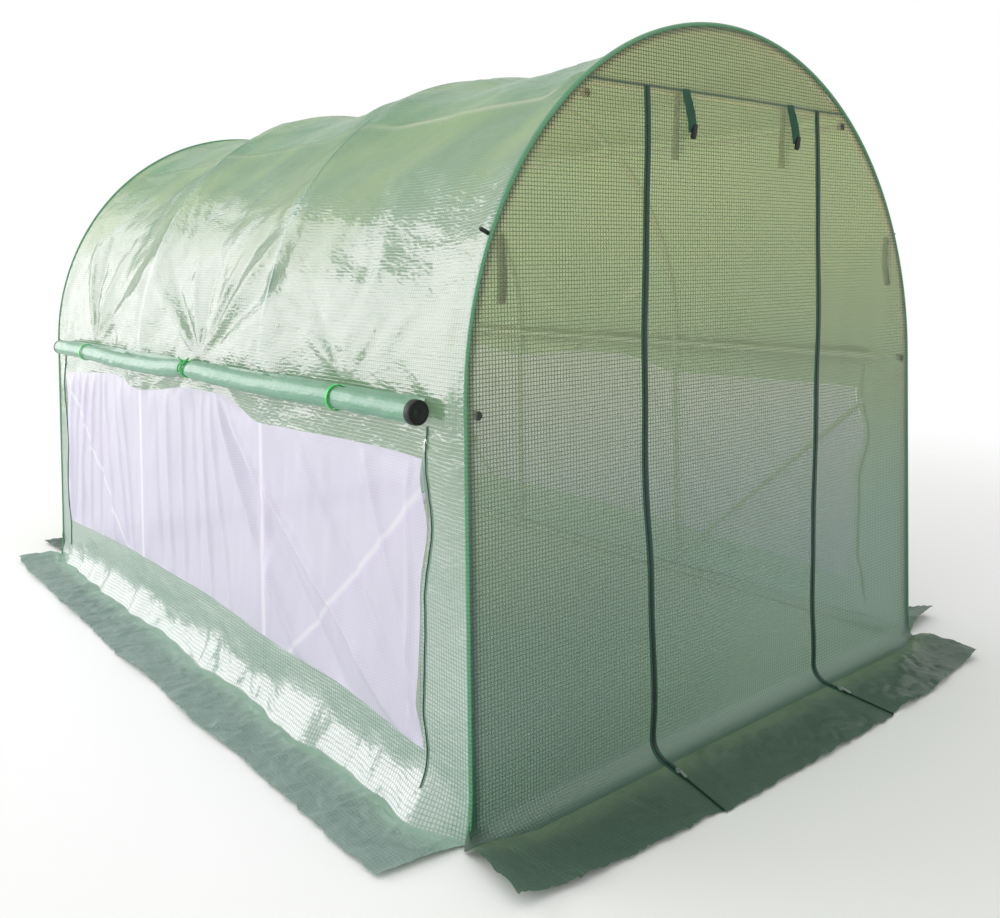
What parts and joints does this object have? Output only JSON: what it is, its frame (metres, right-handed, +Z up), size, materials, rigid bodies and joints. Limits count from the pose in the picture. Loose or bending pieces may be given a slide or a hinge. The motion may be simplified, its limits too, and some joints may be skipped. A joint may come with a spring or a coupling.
{
  "type": "polytunnel greenhouse",
  "caption": "Walk-in round-arched polytunnel on a tube frame, with a zipped front door, net side windows under rolled-up covers, and ground skirts all round.",
  "frame": {"origin": "on the ground, at the middle of the tunnel's footprint with its skirts", "axes": "+Z up, +Y along the tunnel from the door to the back wall, +X to the right of the door seen from the front"},
  "size_m": [2.5046, 3.5046, 2.0023],
  "materials": {
    "galvanised_tube": "satin",
    "cover_film": "translucent woven-reinforced film",
    "skirt_film": "woven-reinforced film",
    "window_net": "fine mesh",
    "zip_tape": "woven tape",
    "strap_webbing": "woven webbing",
    "black_plastic": "matte",
    "green_clip": "gloss"
  },
  "bodies": {
    "root": {"left_legs": "galvanised_tube", "right_legs": "galvanised_tube", "front_arch": "galvanised_tube", "second_arch": "galvanised_tube", "third_arch": "galvanised_tube", "back_arch": "galvanised_tube", "left_side_purlin": "galvanised_tube", "right_side_purlin": "galvanised_tube", "left_roof_purlin": "galvanised_tube", "right_roof_purlin": "galvanised_tube", "purlin_caps": "black_plastic", "door_head_bar": "galvanised_tube", "left_ground_rail": "galvanised_tube", "right_ground_rail": "galvanised_tube", "back_ground_rail": "galvanised_tube", "left_braces": "galvanised_tube", "right_braces": "galvanised_tube", "front_bay_roof": "cover_film", "middle_bay_roof": "cover_film", "back_bay_roof": "cover_film", "left_wall_margins": "cover_film", "right_wall_margins": "cover_film", "left_wall_sill": "cover_film", "right_wall_sill": "cover_film", "left_window_net": "window_net", "right_window_net": "window_net", "front_wall_left": "cover_film", "front_wall_right": "cover_film", "front_wall_top": "cover_film", "door_panel": "cover_film", "back_wall": "cover_film", "left_skirt": "skirt_film", "right_skirt": "skirt_film", "back_skirt": "skirt_film", "front_skirts": "skirt_film", "door_skirt": "skirt_film", "left_window_roll": "cover_film", "right_window_roll": "cover_film", "roll_caps": "black_plastic", "roll_clips": "green_clip", "roll_ties": "green_clip", "door_zips": "zip_tape", "window_zips": "zip_tape", "tie_straps": "strap_webbing", "strap_toggles": "black_plastic"}
  },
  "joints": []
}
